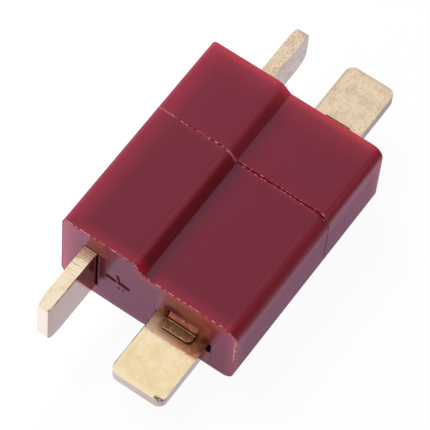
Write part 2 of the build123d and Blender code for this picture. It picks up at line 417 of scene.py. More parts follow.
class Shader(Graph):
    """One material, with the place in millimetres and the direction of its surface."""

    def __init__(self, name):
        self.material = bpy.data.materials.new(name)
        self.material.use_nodes = True
        super().__init__(self.material.node_tree)
        self.surface = self.node("BsdfPrincipled")
        self.show("OutputMaterial", self.surface.outputs["BSDF"])
        place = self.node("TexCoord").outputs
        self.point = self.vector("SCALE", place["Object"], 1 / MM)
        self.x, self.y, self.z = self.split(self.point)
        self.nx, self.ny, self.nz = self.split(place["Normal"])

    def noise(self, scale, detail=3.0, stretch=(1, 1, 1), roughness=0.55):
        """Noise from 0 to 1, with scale in waves per millimetre."""
        node = self.node("TexNoise")
        self.link(self.vector("MULTIPLY", self.point, stretch), node.inputs["Vector"])
        for key, value in (("Scale", scale), ("Detail", detail), ("Roughness", roughness)):
            node.inputs[key].default_value = value
        return node.outputs["Fac"]

    def bump(self, height, distance):
        """Surface relief from a height of 0 to 1 that stands for distance in millimetres."""
        node = self.node("Bump")
        node.inputs["Strength"].default_value = 1.0
        node.inputs["Distance"].default_value = distance * MM
        self.link(height, node.inputs["Height"])
        self.link(node.outputs["Normal"], self.surface.inputs["Normal"])

    def set(self, **values):
        names = {
            "colour": "Base Color",
            "roughness": "Roughness",
            "metallic": "Metallic",
            "specular": "Specular IOR Level",
        }
        for key, value in values.items():
            self.put(self.surface.inputs[names[key]], value)


def nylon_top(s, base, ramp_shading, corner_shading, foot_shade_share):
    """Colours of what looks up: the tall side, the ramp, the shelf and its rounded corner, with painted
    light: a painted glow along the edges, the seam and the far end, painted shading on the ramp and the
    corner, painted shade along the foot of the ramp, and a painted highlight on the brow and the corner's
    shoulder.
    """
    # Painted glow: redder and lighter along the edges, at the seam and at the far end
    near_glow_band = s.step(s.x, near_x + 1.4, near_x - 0.3, 0.0, 0.7)
    far_glow_band = s.most(
        s.step(s.x, far_x - 2.8, far_x + 0.2, 0.0, 0.3),
        s.step(s.x, far_x - 1.3, far_x + 0.15, 0.0, 0.95),
    )
    seam_glow_band = s.times(
        s.step(s.distance(s.x, mate_x), 0.55, 0.05, 0.0, 0.35),
        s.step(s.x, mate_x + 0.06, mate_x + 0.03, 0.3, 1.0),
    )
    edge = s.most(
        s.step(s.y, side_y - 2.4, side_y + 0.4, 0.0, 0.85),
        near_glow_band,
        seam_glow_band,
        s.step(s.distance(s.nz, 0.75), 0.22, 0.1, 0.0, 0.3),
    )
    uneven = s.step(s.noise(0.35, 4.0), 0.2, 0.7, 0.9, 1.05)
    top = s.mix(s.times(edge, uneven), base, nylon_edge_glow)
    top = s.mix(far_glow_band, top, nylon_far_glow)

    # Painted shade on the shelf, along the foot of the ramp
    foot_shade = s.times(
        s.inside(s.y, (ramp_foot_y - 1.3, ramp_foot_y), (ramp_brow_y, ramp_brow_y - 0.2)),
        s.step(s.nz, 0.8, 0.95),
        s.step(s.x, far_x - 0.5, far_x - 2.5),
        foot_shade_share,
    )
    top = s.mix(foot_shade, top, nylon_foot_shade)

    # Painted shading of the shelf's rounded corner: deeper red where it turns steeply and near the near end,
    # with a painted glow near the far end
    turned = s.times(s.step(s.ny, -0.15, -0.45), s.step(s.nz, 0.15, 0.45))
    corner = s.mix(s.step(s.nz, 0.8, 0.5), corner_shading, nylon_deep)
    corner = s.mix(s.step(s.x, near_x + 1.6, near_x + 0.2), corner, nylon_deep)
    corner = s.mix(s.step(s.x, far_x - 1.8, far_x - 0.2), corner, nylon_glow)
    top = s.mix(s.times(turned, s.step(s.y, corner_y + 0.5, corner_y)), top, corner)

    # Ramp, with painted shading, and a painted glow near the near end, at the seam and near the far end
    slope = s.mix(s.most(near_glow_band, seam_glow_band), ramp_shading, nylon_ramp_near_glow)
    slope = s.mix(far_glow_band, slope, nylon_ramp_far_glow)
    on_ramp = s.times(turned, s.step(s.y, ramp_foot_y - 0.3, ramp_foot_y), s.step(s.nz, 0.93, 0.80))
    top = s.mix(on_ramp, top, slope)

    # Painted highlight on the soft brow over the ramp and on the shoulder of the corner
    shoulder_highlight = s.times(
        s.inside(s.nz, (0.80, 0.90), (0.995, 0.97)),
        s.step(s.ny, 0.0, -0.1),
        s.most(s.step(s.y, ramp_brow_y, ramp_brow_y + 0.2), s.step(s.y, corner_y, corner_y - 0.2)),
    )
    return s.mix(shoulder_highlight, top, s.mix(s.most(near_glow_band, far_glow_band), nylon_shoulder_highlight, nylon_far_glow))


def nylon_walls(s, end_face):
    """Colours of the upright faces, all painted light: lighter where they face low y or the near end, a
    painted pale sheen on the low side, painted highlights and a painted red glow along the rims and edges
    with lighter stripes for faint ridges, and the painted brown reflection of the tabs on the near end.
    """
    low_side = s.step(s.ny, -0.5, -0.9)
    # Painted highlights along the rims, with lighter stripes for faint ridges
    ridges = s.math("SINE", s.times(s.y, math.tau / ridge_pitch))
    streak = s.times(s.step(ridges, -1.0, 1.0), s.step(s.y, side_y - 2.4, side_y - 1.6), 0.35)
    end_rim_highlight = s.most(
        s.step(s.y, side_y - 1.1, side_y - 0.2, 0.0, 0.85),
        s.step(s.y, side_y - 3.5, side_y - 1.5, 0.0, 0.45),
        s.step(s.y, 2.4 - side_y, 1.6 - side_y, 0.0, 0.22),
        streak,
    )
    side_rim_highlight = s.most(
        s.step(s.x, mate_x, far_x, 0.0, 0.25),
        s.step(s.x, far_x - 1.3, far_x - 0.1, 0.0, 0.6),
    )
    rim = s.most(s.step(s.z, 0.9, 0.25, 0.0, 0.85), s.times(end_face, end_rim_highlight), s.times(low_side, side_rim_highlight))

    # Painted brown reflection of the tabs in the near end, over and beside them
    over_flat = s.times(
        s.inside(s.y, (flat_y1 + 0.24, flat_y1 - 0.26), (flat_y0 - 0.26, flat_y0 + 0.14)),
        s.step(s.z, shelf_z - 0.46, shelf_z - 1.76, 0.0, 0.6),
    )
    over_upright = s.times(
        s.inside(s.y, (upright_y0 - 0.42, upright_y0 - 0.02), (upright_y1 + 0.28, upright_y1 - 0.02)),
        s.step(s.z, upright_top_z - 0.05, upright_top_z + 0.05, 0.0, 0.5),
    )
    beside_upright = s.times(
        s.inside(s.y, (upright_y0 - 1.02, upright_y0 - 0.32), (upright_y0 - 0.02, upright_y0 - 0.12)),
        s.step(s.z, upright_low_z + 1.35, upright_top_z - 0.65, 0.0, 0.5),
    )
    gritty = s.step(s.noise(5.0, 4.0, (1, 1, 0.4)), 0.35, 0.65, 0.7, 1.0)
    tab_reflection = s.times(end_face, gritty, s.most(over_flat, over_upright, beside_upright))

    # Painted light by the way a wall faces, and a painted pale sheen high on the low side, stronger on the
    # plug
    side = s.mix(s.most(s.step(s.ny, -0.5, -0.8), s.step(s.nx, -0.5, -0.8)), nylon_lit_wall, nylon_wall_light)
    pale_sheen = s.times(low_side, s.step(s.z, 4.0, corner_z), s.step(s.x, mate_x, mate_x + 0.05, 0.06, 0.11))
    side = s.mix(pale_sheen, side, nylon_pale_sheen)
    side = s.mix(rim, s.mix(tab_reflection, side, nylon_tab_reflection), nylon_rim_highlight)
    # Painted red glow along the near end's upper and lower rims
    red_rim_glow = s.most(
        s.times(s.step(s.z, shelf_z - 0.96, shelf_z - 0.46), s.step(s.y, 2.2, 0.0, 0.0, 0.5)),
        s.step(s.z, 0.8, 0.3, 0.0, 0.4),
    )
    side = s.mix(s.times(end_face, red_rim_glow), side, nylon_red_rim_glow)
    end_edges = s.most(
        s.step(s.y, side_y - 2.0, side_y + 0.2, 0.0, 0.7),
        s.step(s.y, 1.1 - side_y, -0.1 - side_y, 0.0, 0.42),
    )
    side_edges = s.most(
        s.step(s.x, near_x + 1.8, near_x - 0.2, 0.0, 0.3),
        s.step(s.x, near_x + 0.3, near_x + 0.05, 0.0, 0.7),
        s.step(s.x, far_x - 1.6, far_x, 0.0, 0.35),
    )
    lit_edge = s.most(s.times(end_face, end_edges), s.times(low_side, side_edges))
    return s.mix(lit_edge, side, nylon_lit_edge)


def end_shade(s):
    """Painted shade round the spring and the tabs on the near end: beside and over the spring, under its
    burr, where the barb's slot is, and beside the upright tab.
    """
    beside_spring = s.times(
        s.inside(s.y, (leaf_y1 - 0.3, leaf_y1), (leaf_y1 + 0.7, leaf_y1 + 0.2)),
        s.inside(s.z, (leaf_top_z + 1.35, leaf_top_z + 0.45), (flat_top_z - 0.3, flat_top_z)),
        0.85,
    )
    barb_slot_shade = s.times(
        s.inside(s.y, (flat_y0 + 0.74, flat_y0 + 0.34), (flat_y0 - 0.36, flat_y0 + 0.04)),
        s.inside(s.z, (burr_z, burr_z - 0.7), (flat_top_z - 0.3, flat_top_z)),
        0.7,
    )
    under_burr = s.times(
        s.inside(s.y, (leaf_y0 - 0.36, leaf_y0 - 0.16), (leaf_y1 + 0.2, leaf_y1)),
        s.inside(s.z, (leaf_top_z + 0.6, leaf_top_z + 0.4), (leaf_top_z + 0.05, leaf_top_z + 0.15)),
        s.step(s.y, leaf_y0 - 0.36, leaf_y1 + 0.34, 0.3, 0.8),
    )
    over_spring = s.times(
        s.inside(s.y, (leaf_y0 - 0.66, leaf_y0 - 0.26), (leaf_y1 + 0.3, leaf_y1)),
        s.inside(s.z, (leaf_top_z + 1.65, leaf_top_z + 0.65), (leaf_top_z + 0.05, leaf_top_z + 0.15)),
        s.step(s.y, leaf_y0 + 0.94, leaf_y1 - 0.46, 0.4, 0.8),
    )
    beside_upright = s.times(
        s.step(s.y, upright_y0 - 1.42, upright_y0 - 0.42, 0.0, 0.75),
        s.step(s.y, upright_y0 + 0.08, upright_y0 - 0.02),
        s.step(s.z, upright_low_z + 0.95, upright_low_z + 1.95),
        s.step(s.z, upright_top_z + 0.25, upright_top_z - 0.05),
    )
    return s.most(beside_spring, barb_slot_shade, under_burr, over_spring, beside_upright)


def nylon_highlight_and_specks(s, colour):
    """Painted highlight on the near end's low-y upright edge, pale rim of the plug's corner, and sparse pale
    specks.
    """
    # Painted highlight, pinkish white, on the upper part of that edge
    wear_and_highlight = s.times(
        s.step(s.x, near_x + 0.14, near_x + 0.08),
        s.step(s.y, 0.22 - side_y, 0.12 - side_y),
        s.step(s.z, 2.6, 4.2),
        s.step(s.noise(2.5, 3.0), 0.3, 0.5, 0.4, 1.0),
    )
    colour = s.mix(wear_and_highlight, colour, nylon_edge_highlight)
    step_rim = s.times(
        s.inside(s.x, (mate_x, mate_x + 0.03), (mate_x + 0.15, mate_x + 0.1)),
        s.step(s.nx, -0.97, -0.85),
        s.step(s.y, corner_y - 0.4, corner_y - 0.7),
        s.step(s.z, corner_z, corner_z + 0.3),
        0.9,
    )
    colour = s.mix(step_rim, colour, nylon_flash)
    speck = s.times(s.step(s.noise(6.0, 2.0), 0.76, 0.79), s.step(s.noise(0.5, 2.0), 0.5, 0.6), 0.5)
    return s.mix(speck, colour, nylon_flash)


def nylon(name, base, ramp_shading, corner_shading, foot_shade_share):
    """Moulded dark red nylon, glossier on its walls, with painted light: a painted glow that makes it redder
    and lighter at its edges, painted shading and highlights on its tops, painted light on its walls, which
    look mauve, and painted shade on the near end and in the mark.

    The foot share says how much painted shade the shelf gets along the foot of the ramp.
    """
    s = Shader(name)
    end_face = s.step(s.x, near_x + 0.05, near_x + 0.02)
    wall = s.step(s.distance(s.nz, 0.0), 0.55, 0.15)
    colour = nylon_top(s, base, ramp_shading, corner_shading, foot_shade_share)
    colour = s.mix(wall, colour, nylon_walls(s, end_face))
    shade = s.times(end_face, end_shade(s))
    colour = s.mix(shade, colour, nylon_shade)
    # Painted shade in the recess of the engraved plus mark
    mark = s.times(
        s.inside(s.x, (near_x + 0.01, near_x + 0.04), (near_x + 0.2, near_x + 0.17)),
        s.inside(s.y, *mark_y),
        s.inside(s.z, *mark_z),
    )
    colour = nylon_highlight_and_specks(s, s.mix(mark, colour, nylon_mark_shade))
    rough = s.step(s.noise(6.0, 5.0), 0.3, 0.7, *nylon_roughness)
    rough = s.plus(rough, s.times(end_face, -end_roughness_less))
    rough = s.most(rough, s.times(s.most(mark, shade), dark_roughness))
    s.set(colour=colour, roughness=rough, specular=nylon_specular)
    s.bump(s.noise(9.0, 4.0), nylon_grain)
    return s.material


def patchy(name, first, second, roughness, middle=0.5, specular=nylon_specular, side=None, lit=False):
    """Thin red forms in patches of two colours, with a third one for the low side.

    A lit form has more of the second colour over the ramp and at the tall side's edge.
    """
    s = Shader(name)
    patch = s.step(s.noise(3.0, 3.0), middle - 0.08, middle + 0.08)
    if lit:
        over_ramp = s.times(s.inside(s.y, (ramp_foot_y, ramp_foot_y + 0.1), (1.5, 1.3)), 0.8)
        patch = s.most(patch, over_ramp, s.step(s.y, side_y - 2.2, side_y - 1.2, 0.0, 0.5))
    colour = s.mix(patch, first, second)
    if side:
        colour = s.mix(s.step(s.ny, -0.6, -0.9), colour, side)
    s.set(colour=colour, roughness=roughness, specular=specular)
    s.bump(s.noise(9.0, 3.0), nylon_grain)
    return s.material


def bright_faces(s, up, tall, low):
    """Clean bright plating: golden broad faces with painted highlights, cream on the upright tab's top and
    paler along the flat tab's border; silvery edges and tips painted with the floor's reflections that they
    show, and stains on the flat tip.
    """
    mottle = s.noise(1.3, 7.0, roughness=0.6)
    # Painted cream highlight on the upright tab's top
    face = s.mix(tall, gold_colour, gold_cream_highlight)
    face = s.mix(s.step(mottle, 0.48, 0.64, 0.0, 0.55), face, gold_pale)
    face = s.mix(s.step(mottle, 0.50, 0.34, 0.0, 0.4), face, gold_deep)
    face = s.mix(s.step(s.noise(7.0, 5.0, roughness=0.7), 0.54, 0.64, 0.0, 0.5), face, gold_pale)
    # Painted highlight, paler, near the flat tab's tip, along its inner edge and beside its root
    border = s.most(
        s.step(s.x, near_x - 5.5, near_x - 5.9),
        s.step(s.y, flat_y1 - 0.39, flat_y1 - 0.04),
        s.times(s.step(s.x, near_x - 2.3, near_x - 1.7), s.step(s.y, flat_y0 + 1.64, flat_y0 + 3.64)),
    )
    face = s.mix(s.times(border, low, 0.6), face, gold_pale)
    # Sides and tips painted with the reflections they show, with random stains on the flat tip
    tip = s.step(s.distance(s.nx, 0.0), 0.4, 0.8)
    stain = s.step(s.noise(2.5, 5.0), 0.48, 0.62, 0.0, 0.6)
    tip_reflection_and_stain = s.mix(tall, s.mix(stain, gold_flat_tip_reflection, gold_deep), gold_upright_tip_reflection)
    edges = s.mix(tip, s.mix(tall, gold_flat_side_reflection, gold_upright_side_reflection), tip_reflection_and_stain)
    return s.mix(up, edges, face)


def root_reflection_and_shade(s, colour, near_flat):
    """Painted reflection of the red housing as brown zones next to it, with a gritty border, and painted
    shade in patches along the housing and the outer edge, darker still near the housing at the outer edge.
    """
    outward = s.step(s.y, flat_y1 - 0.36, flat_y0 + 1.44, 0.3, 0.9)
    colour = s.mix(s.times(near_flat, outward), colour, gold_root_reflection)
    shade_patches = s.step(s.noise(2.5, 5.0), 0.4, 0.6, 0.3, 0.8)
    corner_shade = s.most(
        s.step(s.y, flat_y0 + 2.24, flat_y0 + 0.64),
        s.step(s.x, near_x - 0.6, near_x - 0.05),
    )
    colour = s.mix(s.times(near_flat, corner_shade, shade_patches), colour, gold_dark)
    outer_shade = s.times(
        s.step(s.y, flat_y0 + 1.04, flat_y0 + 0.34),
        s.step(s.x, near_x - 1.5, near_x - 0.7),
        0.6,
    )
    return s.mix(s.times(near_flat, outer_shade), colour, gold_shadow)


def tool_marks(s, colour, up, tall, ribbed):
    """Painted shade in the grooves, a faint painted reflection of the housing over the ribbed part,
    hairlines and the edge line at the upper edge of the upright tab.
    """
    groove = s.times(
        s.step(s.z, upright_top_z - 0.003, upright_top_z - 0.012),
        s.step(s.z, upright_top_z - 0.25, upright_top_z - 0.2),
        up,
        tall,
        s.step(s.x, near_x - 2.1, near_x - 2.0),
    )
    # Faint painted reflection of the housing over the ribbed part, and painted shade in the grooves
    colour = s.mix(s.times(ribbed, 0.2), colour, gold_root_reflection)
    colour = s.mix(s.times(groove, s.step(s.x, near_x - 1.9, near_x - 0.9, 0.35, 0.42)), colour, gold_line)
    hairline = s.step(s.noise(3.2, 4.0, (2.2, 0.18, 1.0)), 0.58, 0.64, 0.0, 0.5)
    hairline = s.times(hairline, s.step(s.x, near_x - 3.6, near_x - 1.5), up, tall)
    colour = s.mix(hairline, colour, gold_brown)
    line = s.times(
        s.step(s.z, upright_top_z - 0.14, upright_top_z - 0.09),
        s.step(s.y, upright_y0 + 0.09, upright_y0 + 0.05),
        tall,
        s.step(s.noise(2.0, 4.0), 0.35, 0.55, 0.55, 1.0),
        s.step(s.x, near_x - 6.0, near_x - 5.6, 0.4, 1.0),
    )
    return s.mix(line, colour, gold_line)


def tab_damage(s, colour, tall, low):
    """Dark line at the inner edge of the flat tab, and bare nicks at both tips."""
    side_line = s.times(
        s.step(s.y, flat_y1 - 0.09, flat_y1 - 0.05),
        low,
        s.step(s.z, flat_top_z - 0.2, flat_top_z - 0.14),
        s.step(s.noise(1.6, 4.0), 0.35, 0.6, 0.45, 0.95),
    )
    colour = s.mix(side_line, colour, gold_line)
    flat_nick = s.times(
        s.inside(s.x, (near_x - 5.66, near_x - 5.8), (near_x - 6.08, near_x - 6.0)),
        s.step(s.y, flat_y0 + 0.92, flat_y0 + 0.69),
        s.step(s.z, flat_top_z - 0.3, flat_top_z - 0.2),
    )
    upright_nick = s.times(
        s.step(s.x, near_x - 5.72, near_x - 5.82),
        s.step(s.y, upright_y0 + 0.28, upright_y0 + 0.13),
        tall,
        s.step(s.z, upright_top_z - 0.45, upright_top_z - 0.25),
    )
    wear_and_highlight = s.step(s.noise(4.0, 5.0, (2.0, 0.6, 1.0), 0.7), 0.36, 0.56, 0.2, 0.95)
    return s.mix(s.times(s.most(flat_nick, upright_nick), wear_and_highlight), colour, nick_grey)


def spring_shade(s):
    """Shade on the flat tab round the spring's tail, which has rounded corners."""
    beyond = []
    for value, low, high in ((s.x, leaf_tip_x, near_x), (s.y, leaf_y0, leaf_y1)):
        across = s.distance(value, (low + high) / 2)
        beyond.append(s.most(s.plus(across, tail_corner - (high - low) / 2), 0.0))
    away = s.math("SQRT", s.plus(*[s.times(side, side) for side in beyond]))
    rim = s.step(away, tail_corner + 0.13, tail_corner + 0.05, 0.0, 0.9)
    haze = s.step(away, tail_corner + 0.6, tail_corner + 0.1, 0.0, 0.45)
    return s.times(s.most(rim, haze), s.step(s.z, flat_top_z - 0.2, flat_top_z - 0.1))


def bright_gold():
    """Bright smooth plating on punched stock, with a painted reflection of the housing and painted shade
    next to the housing.
    """
    s = Shader("bright_gold")
    up = s.step(s.distance(s.nz, 0.0), 0.35, 0.75)
    tall = s.step(s.y, 0.0, 1.0)
    low = s.step(s.y, ramp_foot_y, ramp_foot_y - 0.1)
    grit = s.plus(s.times(s.noise(5.0, 6.0, roughness=0.75), 0.9), -0.45)
    near_flat = s.times(s.step(s.plus(s.x, grit), near_x - 1.66, near_x - 1.46), low, up)
    # Painted reflection of the housing, dark brown, on the upright tab's low side next to the housing; its
    # border leans with height
    slant = s.plus(s.plus(s.x, s.times(s.z, reflection_lean)), s.times(grit, 0.5))
    near_wall = s.times(
        s.step(slant, near_x - 0.1, near_x - 0.03),
        s.step(s.y, ramp_foot_y, ramp_foot_y + 0.1),
        s.step(s.ny, -0.4, -0.8),
        s.step(s.noise(4.0, 5.0), 0.35, 0.65, 0.7, 0.95),
    )
    ribbed = s.times(
        s.step(s.x, near_x - 1.3, near_x - 0.8),
        tall,
        s.step(s.z, upright_top_z - 0.25, upright_top_z - 0.15),
    )
    colour = bright_faces(s, up, tall, s.step(tall, 1.0, 0.0))
    colour = root_reflection_and_shade(s, colour, near_flat)
    colour = s.mix(near_wall, colour, gold_dark)
    colour = tool_marks(s, colour, up, tall, ribbed)
    colour = tab_damage(s, colour, tall, low)
    colour = s.mix(s.times(spring_shade(s), low), colour, gold_shadow)
    film = s.most(near_flat, ribbed)
    rough = s.plus(s.step(s.noise(5.0, 5.0), 0.3, 0.7, *gold_roughness), s.times(film, film_roughness))
    s.set(colour=colour, roughness=rough, metallic=s.math("SUBTRACT", 1.0, s.times(film, film_metal_less)))
    s.bump(s.noise(9.0, 3.0), gold_grain)
    return s.material


def matte_gold():
    """Matte plating with brown speckles, and painted light that makes the window's end wall golden."""
    s = Shader("matte_gold")
    up = s.step(s.distance(s.nz, 0.0), 0.35, 0.75)
    tall = s.step(s.y, 0.0, 1.0)
    grain = s.noise(5.0, 8.0, roughness=0.8)
    strong = s.step(tall, 0.0, 1.0, 0.45, 0.9)
    colour = s.mix(up, matte_gold_side, matte_gold_colour)
    colour = s.mix(s.times(s.step(grain, 0.50, 0.62), strong, 0.8), colour, gold_pale)
    dark = s.times(s.step(grain, 0.50, 0.38), strong, s.step(up, 0.0, 1.0, 0.35, 0.8))
    colour = s.mix(dark, colour, gold_brown)
    colour = s.mix(s.step(s.noise(0.9, 3.0), 0.45, 0.65, 0.0, 0.22), colour, gold_brown)
    inner = s.step(s.y, far_edge_y - 0.3, far_edge_y - 0.02, 0.0, 0.45)
    tip = s.step(s.x, far_tip_x - 0.35, far_tip_x - 0.05, 0.0, 0.3)
    wear_and_highlight = s.times(s.most(inner, tip), s.step(tall, 1.0, 0.0), up, s.step(grain, 0.4, 0.6, 0.5, 1.0))
    colour = s.mix(wear_and_highlight, colour, gold_brown)
    # Painted light that makes the window's end wall golden
    window = s.times(s.step(s.nx, -0.5, -0.8), s.step(s.x, far_x + 1.4, far_x + 1.3))
    colour = s.mix(window, colour, window_gold_light)
    s.set(colour=colour, metallic=1.0, roughness=matte_roughness)
    s.bump(s.noise(6.0, 5.0), matte_grain)
    return s.material


def spring_gold():
    """Golden-brown spring strip with scratches and paler patches, painted shade on its rising wall and in
    the crease at the end wall, and a painted highlight on its front edge.
    """
    s = Shader("spring_gold")
    scratch = s.step(s.noise(5.0, 4.0, (0.4, 2.0, 1.0)), 0.58, 0.66, 0.0, 0.7)
    patch = s.step(s.noise(3.5, 4.0, (1.6, 0.8, 1.0)), 0.52, 0.6, 0.0, 0.7)
    # Painted shade on the faces that don't look up
    colour = s.mix(s.step(s.nz, 0.75, 0.95), spring_wall_shade, spring_colour)
    colour = s.mix(s.times(patch, s.step(s.nz, 0.5, 0.9, 0.4, 1.0)), colour, spring_pale_and_highlight)
    colour = s.mix(scratch, colour, gold_brown)
    # Painted shade in the crease at the end wall
    crease_shade = s.step(s.distance(s.x, near_x - crease_out), 0.09, 0.03, 0.0, 0.95)
    crease_shade = s.times(crease_shade, s.step(s.z, flat_top_z + 0.45, flat_top_z + 0.35))
    colour = s.mix(crease_shade, colour, gold_shadow)
    # Painted highlight on the front edge
    front = s.times(s.step(s.x, leaf_tip_x + 0.09, leaf_tip_x + 0.05), s.step(s.nz, 0.3, 0.6))
    colour = s.mix(front, colour, spring_pale_and_highlight)
    s.set(colour=colour, metallic=1.0, roughness=spring_roughness)
    return s.material


def floor_shader():
    """Shows itself white and keeps a faint shadow; where the part mirrors it, it shows painted shade and
    light, darker towards low y, brighter towards high y, and bluish.
    """
    material = bpy.data.materials.new("floor")
    material.use_nodes = True
    g = Graph(material.node_tree)
    path = g.node("LightPath").outputs
    seen = g.seen(path)
    y = g.times(g.split(g.node("NewGeometry").outputs["Position"])["Y"], 1 / MM)
    edge = g.step(y, *mirror_edge_y, *mirror_edge, "LINEAR")
    rise = g.step(y, *mirror_rise_y, *mirror_rise, "LINEAR")
    strength = g.most(g.times(edge, rise), seen)
    glow = g.glow("Emission", strength, g.mix(seen, floor_mirrored, floor_white))
    diffuse = g.node("BsdfDiffuse")
    diffuse.inputs["Color"].default_value = floor_colour
    share = g.times(g.most(seen, path["Is Glossy Ray"]), floor_glow)
    g.show("OutputMaterial", g.blend(share, diffuse.outputs[0], glow))
    return material


def linked(thing):
    """Puts an object into the scene and gives it back."""
    bpy.context.scene.collection.objects.link(thing)
    return thing


def cleaned(mesh, flat_degrees):
    """Welds the mesh, merges its flat faces and marks an edge sharp wherever the surface turns."""
    bm = bmesh.new()
    bm.from_mesh(mesh)
    bmesh.ops.remove_doubles(bm, verts=bm.verts, dist=weld * MM)
    bmesh.ops.dissolve_limit(bm, angle_limit=math.radians(flat_degrees), verts=bm.verts, edges=bm.edges)
    for face in bm.faces:
        face.smooth = True
    for edge in bm.edges:
        edge.smooth = edge.is_manifold and edge.calc_face_angle() < math.radians(sharp_degrees)
    bm.to_mesh(mesh)
    bm.free()


def baked(mesh, width, cutter):
    """The mesh with its edges broken and the cutter's prisms taken out, as a new mesh."""
    piece = linked(bpy.data.objects.new("uncut", mesh))
    bevel = piece.modifiers.new("bevel", "BEVEL")
    bevel.width = width * MM
    bevel.segments = break_segments
    bevel.limit_method = "ANGLE"
    bevel.angle_limit = math.radians(break_degrees)
    if cutter:
        cut = piece.modifiers.new("cut", "BOOLEAN")
        cut.operation = "DIFFERENCE"
        cut.solver = "MANIFOLD"
        cut.object = linked(cutter)
    graph = bpy.context.evaluated_depsgraph_get()
    result = bpy.data.meshes.new_from_object(piece.evaluated_get(graph))
    bpy.data.objects.remove(piece)
    if cutter:
        bpy.data.objects.remove(cutter)
    return result


def refined(node, material, width, cutter=None):
    """Stands for a CAD node with the same form, its edges finely broken and its normals soft."""
    source = frame["nodes"][node]
    mesh = source.data.copy()
    cleaned(mesh, flat_degrees_before)
    mesh = baked(mesh, width, cutter)
    cleaned(mesh, flat_degrees_after)
    mesh.name = node + "_form"
    mesh.materials.clear()
    mesh.materials.append(material)
    piece = linked(bpy.data.objects.new(node + "_form", mesh))
    soft = piece.modifiers.new("soft", "WEIGHTED_NORMAL")
    soft.keep_sharp = True
    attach(piece, source["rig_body"])
    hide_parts(node)


def skin(rings, closed):
    """Points and faces of a skin over rings of points; an open row of rings gets a cap at both ends."""
    count = len(rings)
    sides = len(rings[0])
    faces = []
    for i in range(count if closed else count - 1):
        j = (i + 1) % count
        for k in range(sides):
            m = (k + 1) % sides
            faces.append([sides * i + k, sides * i + m, sides * j + m, sides * j + k])
    if not closed:
        faces.append(list(reversed(range(sides))))
        faces.append([sides * (count - 1) + k for k in range(sides)])
    return [point for ring in rings for point in ring], faces


def new_piece(name, rings, closed, material, body):
    """A smooth mesh piece over rings of points in millimetres."""
    points, faces = skin(rings, closed)
    mesh = bpy.data.meshes.new(name)
    mesh.from_pydata([Vector(point) * MM for point in points], [], faces)
    mesh.update()
    for polygon in mesh.polygons:
        polygon.use_smooth = True
    mesh.materials.append(material)
    piece = linked(bpy.data.objects.new(name, mesh))
    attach(piece, body)


def cutter_object(name, prisms):
    """One mesh of closed prisms, each given as two matching rings of points in millimetres."""
    bm = bmesh.new()
    for low, high in prisms:
        rings = [[bm.verts.new(Vector(point) * MM) for point in ring] for ring in (low, high)]
        count = len(low)
        bm.faces.new(reversed(rings[0]))
        bm.faces.new(rings[1])
        for i in range(count):
            j = (i + 1) % count
            bm.faces.new((rings[0][i], rings[0][j], rings[1][j], rings[1][i]))
    bmesh.ops.recalc_face_normals(bm, faces=bm.faces)
    mesh = bpy.data.meshes.new(name)
    bm.to_mesh(mesh)
    bm.free()
    return bpy.data.objects.new(name, mesh)


def stroke_prism(start, end, width):
    """Capsule-shaped engraving stroke on the near end face, between two (y, z) points."""
    start = Vector(start)
    end = Vector(end)
    along = end - start
    turn = math.atan2(along.y, along.x)
    steps = 6
    ring = []
    for centre, base in ((end, -math.pi / 2), (start, math.pi / 2)):
        for i in range(steps + 1):
            angle = turn + base + math.pi * i / steps
            ring.append(centre + Vector((math.cos(angle), math.sin(angle))) * width / 2)
    return [[(near_x + depth, p.x, p.y) for p in ring] for depth in (-mark_depth, mark_depth)]


def rib_prisms():
    """Fine tool grooves across the upper edge of the upright tab, next to the housing."""
    rng = random.Random(5)
    z = upright_top_z
    top = z + cutter_over
    prisms = []
    for i in range(rib_count):
        x = near_x - rib_start - rib_reach * (i + rng.uniform(-rib_stray, rib_stray)) / rib_count
        depth = rib_depth * rng.uniform(0.6, 1.2) * (1 - rib_fade * i / rib_count)
        half = min(depth * rng.uniform(0.9, 1.2), rib_half_most)
        lean = rng.uniform(-rib_lean, rib_lean)
        groove = [(x - half, top), (x - half, z), (x, z - depth), (x + half, z), (x + half, top)]
        low = [(a, upright_y0 - cutter_over, c) for a, c in groove]
        high = [(a + lean, upright_y1 + cutter_over, c) for a, c in groove]
        prisms.append((low, high))
    return prisms


def outline(node, x_plane):
    """The outer (y, z) outline of a housing near one plane, sorted round its middle, in millimetres."""
    plane_reach = 0.01
    found = {}
    for vertex in frame["nodes"][node].data.vertices:
        p = vertex.co / MM
        if abs(p.x - x_plane) < plane_reach:
            found[(round(p.y, 4), round(p.z, 4))] = None
    points = [Vector(p) for p in found]
    points.sort(key=lambda p: math.atan2(p.y - top_z / 2, p.x))
    return points


def walk(points, step):
    """Evenly spaced places on a closed outline, with outward directions."""
    shortest = 1e-4
    places = []
    for i, a in enumerate(points):
        b = points[(i + 1) % len(points)]
        length = (b - a).length
        if length < shortest:
            continue
        parts = max(1, round(length / step))
        along = (b - a) / length
        outward = Vector((along.y, -along.x))
        for k in range(parts):
            places.append((a + along * length * k / parts, outward))
    return places


def flash_ring(name, places, x_of, width_of, height_of, body, material):
    """Thin ridge of moulding flash that runs round an outline; its three rules take (y, z)."""
    rings = []
    for place, outward in places:
        x = x_of(place)
        half = width_of(place) / 2
        crest = half * flash_crest_share
        height = height_of(place)
        low = min(height, 0) - flash_root
        ring = []
        for dx, lift in ((-half, low), (-crest, height), (crest, height), (half, low)):
            p = place + outward * lift
            ring.append((x + dx, p.x, p.y))
        rings.append(ring)
    new_piece(name, rings, True, material, body)


